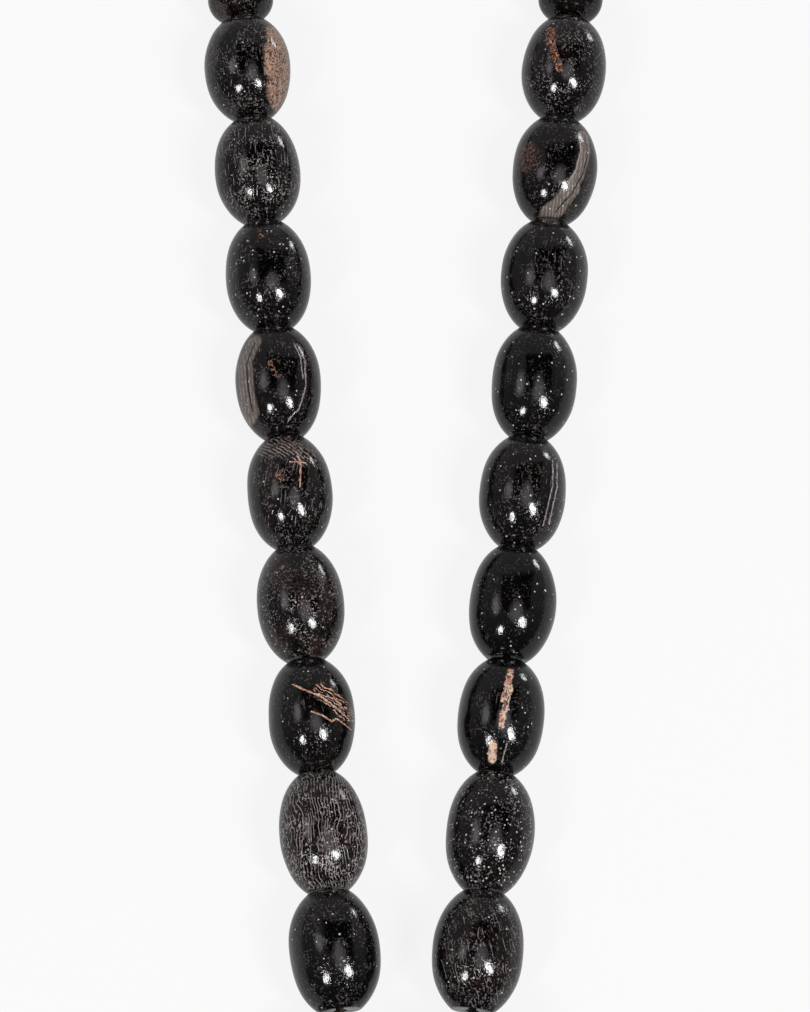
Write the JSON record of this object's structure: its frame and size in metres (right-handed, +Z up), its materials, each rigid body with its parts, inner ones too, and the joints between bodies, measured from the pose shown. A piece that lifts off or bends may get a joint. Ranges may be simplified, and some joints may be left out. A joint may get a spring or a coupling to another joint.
{
  "type": "bead necklace",
  "caption": "Necklace of large oval and small round dark wooden beads threaded on a knotted cord, laid flat in a narrow V",
  "frame": {"origin": "middle of the underside of the necklace lying flat", "axes": "+Z up from the surface it lies on, +Y from the foot of the V to the knot behind the neck, +X to the right of the V seen from above"},
  "size_m": [0.0804, 0.3058, 0.0155],
  "materials": {
    "oval_bead_wood": "polished near-black hardwood",
    "round_bead_wood": "polished near-black hardwood",
    "cord_fibre": "dark twisted cord"
  },
  "bodies": {
    "strand": {"stringing_cord": "cord_fibre"},
    "oval_bead_foot_body": {"oval_bead_foot": "oval_bead_wood"},
    "oval_bead_left_01_body": {"oval_bead_left_01": "oval_bead_wood"},
    "oval_bead_left_02_body": {"oval_bead_left_02": "oval_bead_wood"},
    "oval_bead_left_03_body": {"oval_bead_left_03": "oval_bead_wood"},
    "oval_bead_left_04_body": {"oval_bead_left_04": "oval_bead_wood"},
    "oval_bead_left_05_body": {"oval_bead_left_05": "oval_bead_wood"},
    "oval_bead_left_06_body": {"oval_bead_left_06": "oval_bead_wood"},
    "oval_bead_left_07_body": {"oval_bead_left_07": "oval_bead_wood"},
    "oval_bead_left_08_body": {"oval_bead_left_08": "oval_bead_wood"},
    "oval_bead_left_09_body": {"oval_bead_left_09": "oval_bead_wood"},
    "oval_bead_left_10_body": {"oval_bead_left_10": "oval_bead_wood"},
    "oval_bead_right_01_body": {"oval_bead_right_01": "oval_bead_wood"},
    "oval_bead_right_02_body": {"oval_bead_right_02": "oval_bead_wood"},
    "oval_bead_right_03_body": {"oval_bead_right_03": "oval_bead_wood"},
    "oval_bead_right_04_body": {"oval_bead_right_04": "oval_bead_wood"},
    "oval_bead_right_05_body": {"oval_bead_right_05": "oval_bead_wood"},
    "oval_bead_right_06_body": {"oval_bead_right_06": "oval_bead_wood"},
    "oval_bead_right_07_body": {"oval_bead_right_07": "oval_bead_wood"},
    "oval_bead_right_08_body": {"oval_bead_right_08": "oval_bead_wood"},
    "oval_bead_right_09_body": {"oval_bead_right_09": "oval_bead_wood"},
    "oval_bead_right_10_body": {"oval_bead_right_10": "oval_bead_wood"},
    "round_bead_left_01_body": {"round_bead_left_01": "round_bead_wood"},
    "round_bead_left_02_body": {"round_bead_left_02": "round_bead_wood"},
    "round_bead_left_03_body": {"round_bead_left_03": "round_bead_wood"},
    "round_bead_left_04_body": {"round_bead_left_04": "round_bead_wood"},
    "round_bead_left_05_body": {"round_bead_left_05": "round_bead_wood"},
    "round_bead_left_06_body": {"round_bead_left_06": "round_bead_wood"},
    "round_bead_left_07_body": {"round_bead_left_07": "round_bead_wood"},
    "round_bead_left_08_body": {"round_bead_left_08": "round_bead_wood"},
    "round_bead_left_09_body": {"round_bead_left_09": "round_bead_wood"},
    "round_bead_left_10_body": {"round_bead_left_10": "round_bead_wood"},
    "round_bead_left_11_body": {"round_bead_left_11": "round_bead_wood"},
    "round_bead_left_12_body": {"round_bead_left_12": "round_bead_wood"},
    "round_bead_left_13_body": {"round_bead_left_13": "round_bead_wood"},
    "round_bead_right_01_body": {"round_bead_right_01": "round_bead_wood"},
    "round_bead_right_02_body": {"round_bead_right_02": "round_bead_wood"},
    "round_bead_right_03_body": {"round_bead_right_03": "round_bead_wood"},
    "round_bead_right_04_body": {"round_bead_right_04": "round_bead_wood"},
    "round_bead_right_05_body": {"round_bead_right_05": "round_bead_wood"},
    "round_bead_right_06_body": {"round_bead_right_06": "round_bead_wood"},
    "round_bead_right_07_body": {"round_bead_right_07": "round_bead_wood"},
    "round_bead_right_08_body": {"round_bead_right_08": "round_bead_wood"},
    "round_bead_right_09_body": {"round_bead_right_09": "round_bead_wood"},
    "round_bead_right_10_body": {"round_bead_right_10": "round_bead_wood"},
    "round_bead_right_11_body": {"round_bead_right_11": "round_bead_wood"},
    "round_bead_right_12_body": {"round_bead_right_12": "round_bead_wood"},
    "round_bead_right_13_body": {"round_bead_right_13": "round_bead_wood"}
  },
  "joints": [
    {"name": "oval_bead_foot_spin", "type": "hinge", "parent": "strand", "child": "oval_bead_foot_body", "pos_m": [0, -0.14554, 0.00765], "axis": [1, 0, 0], "continuous": true},
    {"name": "oval_bead_left_01_spin", "type": "hinge", "parent": "strand", "child": "oval_bead_left_01_body", "pos_m": [-0.02896, 0.05155, 0.00774], "axis": [-0.1035, 0.9946, 0], "continuous": true},
    {"name": "oval_bead_left_02_spin", "type": "hinge", "parent": "strand", "child": "oval_bead_left_02_body", "pos_m": [-0.02687, 0.03147, 0.00769], "axis": [-0.1035, 0.9946, 0.0052], "continuous": true},
    {"name": "oval_bead_left_03_spin", "type": "hinge", "parent": "strand", "child": "oval_bead_left_03_body", "pos_m": [-0.02474, 0.01103, 0.00764], "axis": [-0.1035, 0.9946, 0], "continuous": true},
    {"name": "oval_bead_left_04_spin", "type": "hinge", "parent": "strand", "child": "oval_bead_left_04_body", "pos_m": [-0.02262, -0.00934, 0.00761], "axis": [-0.1035, 0.9946, 0.0031], "continuous": true},
    {"name": "oval_bead_left_05_spin", "type": "hinge", "parent": "strand", "child": "oval_bead_left_05_body", "pos_m": [-0.02051, -0.02966, 0.00758], "axis": [-0.1035, 0.9946, 0], "continuous": true},
    {"name": "oval_bead_left_06_spin", "type": "hinge", "parent": "strand", "child": "oval_bead_left_06_body", "pos_m": [-0.0184, -0.04993, 0.00752], "axis": [-0.1035, 0.9946, 0.0054], "continuous": true},
    {"name": "oval_bead_left_07_spin", "type": "hinge", "parent": "strand", "child": "oval_bead_left_07_body", "pos_m": [-0.0163, -0.07005, 0.00747], "axis": [-0.1035, 0.9946, 0.0002], "continuous": true},
    {"name": "oval_bead_left_08_spin", "type": "hinge", "parent": "strand", "child": "oval_bead_left_08_body", "pos_m": [-0.01419, -0.09034, 0.00754], "axis": [-0.1035, 0.9946, -0.0071], "continuous": true},
    {"name": "oval_bead_left_09_spin", "type": "hinge", "parent": "strand", "child": "oval_bead_left_09_body", "pos_m": [-0.01209, -0.11059, 0.00763], "axis": [-0.1035, 0.9946, -0.0017], "continuous": true},
    {"name": "oval_bead_left_10_spin", "type": "hinge", "parent": "strand", "child": "oval_bead_left_10_body", "pos_m": [-0.01241, -0.1313, 0.00765], "axis": [0.1356, 0.9908, 0], "continuous": true},
    {"name": "oval_bead_right_01_spin", "type": "hinge", "parent": "strand", "child": "oval_bead_right_01_body", "pos_m": [0.02896, 0.05155, 0.00774], "axis": [0.1035, 0.9946, 0], "continuous": true},
    {"name": "oval_bead_right_02_spin", "type": "hinge", "parent": "strand", "child": "oval_bead_right_02_body", "pos_m": [0.02687, 0.03147, 0.00769], "axis": [0.1035, 0.9946, 0.0052], "continuous": true},
    {"name": "oval_bead_right_03_spin", "type": "hinge", "parent": "strand", "child": "oval_bead_right_03_body", "pos_m": [0.02474, 0.01103, 0.00764], "axis": [0.1035, 0.9946, 0], "continuous": true},
    {"name": "oval_bead_right_04_spin", "type": "hinge", "parent": "strand", "child": "oval_bead_right_04_body", "pos_m": [0.02262, -0.00934, 0.00761], "axis": [0.1035, 0.9946, 0.0031], "continuous": true},
    {"name": "oval_bead_right_05_spin", "type": "hinge", "parent": "strand", "child": "oval_bead_right_05_body", "pos_m": [0.02051, -0.02966, 0.00758], "axis": [0.1035, 0.9946, 0], "continuous": true},
    {"name": "oval_bead_right_06_spin", "type": "hinge", "parent": "strand", "child": "oval_bead_right_06_body", "pos_m": [0.0184, -0.04993, 0.00752], "axis": [0.1035, 0.9946, 0.0054], "continuous": true},
    {"name": "oval_bead_right_07_spin", "type": "hinge", "parent": "strand", "child": "oval_bead_right_07_body", "pos_m": [0.0163, -0.07005, 0.00747], "axis": [0.1035, 0.9946, 0.0002], "continuous": true},
    {"name": "oval_bead_right_08_spin", "type": "hinge", "parent": "strand", "child": "oval_bead_right_08_body", "pos_m": [0.01419, -0.09034, 0.00754], "axis": [0.1035, 0.9946, -0.0071], "continuous": true},
    {"name": "oval_bead_right_09_spin", "type": "hinge", "parent": "strand", "child": "oval_bead_right_09_body", "pos_m": [0.01209, -0.11059, 0.00763], "axis": [0.1035, 0.9946, -0.0017], "continuous": true},
    {"name": "oval_bead_right_10_spin", "type": "hinge", "parent": "strand", "child": "oval_bead_right_10_body", "pos_m": [0.01241, -0.1313, 0.00765], "axis": [-0.1356, 0.9908, 0], "continuous": true},
    {"name": "round_bead_left_01_spin", "type": "hinge", "parent": "strand", "child": "round_bead_left_01_body", "pos_m": [-0.03048, 0.06617, 0.00686], "axis": [-0.1015, 0.9751, -0.197], "continuous": true},
    {"name": "round_bead_left_02_spin", "type": "hinge", "parent": "strand", "child": "round_bead_left_02_body", "pos_m": [-0.03138, 0.07484, 0.00585], "axis": [-0.1034, 0.9942, -0.0303], "continuous": true},
    {"name": "round_bead_left_03_spin", "type": "hinge", "parent": "strand", "child": "round_bead_left_03_body", "pos_m": [-0.03225, 0.08324, 0.0057], "axis": [-0.1035, 0.9946, -0.0062], "continuous": true},
    {"name": "round_bead_left_04_spin", "type": "hinge", "parent": "strand", "child": "round_bead_left_04_body", "pos_m": [-0.03312, 0.09154, 0.00562], "axis": [-0.1035, 0.9945, -0.0132], "continuous": true},
    {"name": "round_bead_left_05_spin", "type": "hinge", "parent": "strand", "child": "round_bead_left_05_body", "pos_m": [-0.03396, 0.09965, 0.00556], "axis": [-0.1035, 0.9946, 0], "continuous": true},
    {"name": "round_bead_left_06_spin", "type": "hinge", "parent": "strand", "child": "round_bead_left_06_body", "pos_m": [-0.03476, 0.10755, 0.00551], "axis": [-0.0986, 0.995, -0.014], "continuous": true},
    {"name": "round_bead_left_07_spin", "type": "hinge", "parent": "strand", "child": "round_bead_left_07_body", "pos_m": [-0.03493, 0.11563, 0.00537], "axis": [0.0594, 0.9981, -0.0191], "continuous": true},
    {"name": "round_bead_left_08_spin", "type": "hinge", "parent": "strand", "child": "round_bead_left_08_body", "pos_m": [-0.03351, 0.12364, 0.0053], "axis": [0.2873, 0.9578, 0], "continuous": true},
    {"name": "round_bead_left_09_spin", "type": "hinge", "parent": "strand", "child": "round_bead_left_09_body", "pos_m": [-0.03032, 0.13105, 0.00521], "axis": [0.4988, 0.8665, -0.0208], "continuous": true},
    {"name": "round_bead_left_10_spin", "type": "hinge", "parent": "strand", "child": "round_bead_left_10_body", "pos_m": [-0.02564, 0.13742, 0.0051], "axis": [0.6806, 0.7326, -0.008], "continuous": true},
    {"name": "round_bead_left_11_spin", "type": "hinge", "parent": "strand", "child": "round_bead_left_11_body", "pos_m": [-0.01975, 0.14249, 0.00505], "axis": [0.8256, 0.5642, -0.003], "continuous": true},
    {"name": "round_bead_left_12_spin", "type": "hinge", "parent": "strand", "child": "round_bead_left_12_body", "pos_m": [-0.01298, 0.14611, 0.00494], "axis": [0.9284, 0.3706, -0.0262], "continuous": true},
    {"name": "round_bead_left_13_spin", "type": "hinge", "parent": "strand", "child": "round_bead_left_13_body", "pos_m": [-0.0057, 0.14816, 0.00482], "axis": [0.9861, 0.1661, -0.005], "continuous": true},
    {"name": "round_bead_right_01_spin", "type": "hinge", "parent": "strand", "child": "round_bead_right_01_body", "pos_m": [0.03048, 0.06617, 0.00686], "axis": [0.1015, 0.9751, -0.197], "continuous": true},
    {"name": "round_bead_right_02_spin", "type": "hinge", "parent": "strand", "child": "round_bead_right_02_body", "pos_m": [0.03138, 0.07484, 0.00585], "axis": [0.1034, 0.9942, -0.0303], "continuous": true},
    {"name": "round_bead_right_03_spin", "type": "hinge", "parent": "strand", "child": "round_bead_right_03_body", "pos_m": [0.03225, 0.08324, 0.0057], "axis": [0.1035, 0.9946, -0.0062], "continuous": true},
    {"name": "round_bead_right_04_spin", "type": "hinge", "parent": "strand", "child": "round_bead_right_04_body", "pos_m": [0.03312, 0.09154, 0.00562], "axis": [0.1035, 0.9945, -0.0132], "continuous": true},
    {"name": "round_bead_right_05_spin", "type": "hinge", "parent": "strand", "child": "round_bead_right_05_body", "pos_m": [0.03396, 0.09965, 0.00556], "axis": [0.1035, 0.9946, 0], "continuous": true},
    {"name": "round_bead_right_06_spin", "type": "hinge", "parent": "strand", "child": "round_bead_right_06_body", "pos_m": [0.03476, 0.10755, 0.00551], "axis": [0.0986, 0.995, -0.014], "continuous": true},
    {"name": "round_bead_right_07_spin", "type": "hinge", "parent": "strand", "child": "round_bead_right_07_body", "pos_m": [0.03493, 0.11563, 0.00537], "axis": [-0.0594, 0.9981, -0.0191], "continuous": true},
    {"name": "round_bead_right_08_spin", "type": "hinge", "parent": "strand", "child": "round_bead_right_08_body", "pos_m": [0.03351, 0.12364, 0.0053], "axis": [-0.2873, 0.9578, 0], "continuous": true},
    {"name": "round_bead_right_09_spin", "type": "hinge", "parent": "strand", "child": "round_bead_right_09_body", "pos_m": [0.03032, 0.13105, 0.00521], "axis": [-0.4988, 0.8665, -0.0208], "continuous": true},
    {"name": "round_bead_right_10_spin", "type": "hinge", "parent": "strand", "child": "round_bead_right_10_body", "pos_m": [0.02564, 0.13742, 0.0051], "axis": [-0.6806, 0.7326, -0.008], "continuous": true},
    {"name": "round_bead_right_11_spin", "type": "hinge", "parent": "strand", "child": "round_bead_right_11_body", "pos_m": [0.01975, 0.14249, 0.00505], "axis": [-0.8256, 0.5642, -0.003], "continuous": true},
    {"name": "round_bead_right_12_spin", "type": "hinge", "parent": "strand", "child": "round_bead_right_12_body", "pos_m": [0.01298, 0.14611, 0.00494], "axis": [-0.9284, 0.3706, -0.0262], "continuous": true},
    {"name": "round_bead_right_13_spin", "type": "hinge", "parent": "strand", "child": "round_bead_right_13_body", "pos_m": [0.0057, 0.14816, 0.00482], "axis": [-0.9861, 0.1661, -0.005], "continuous": true}
  ]
}
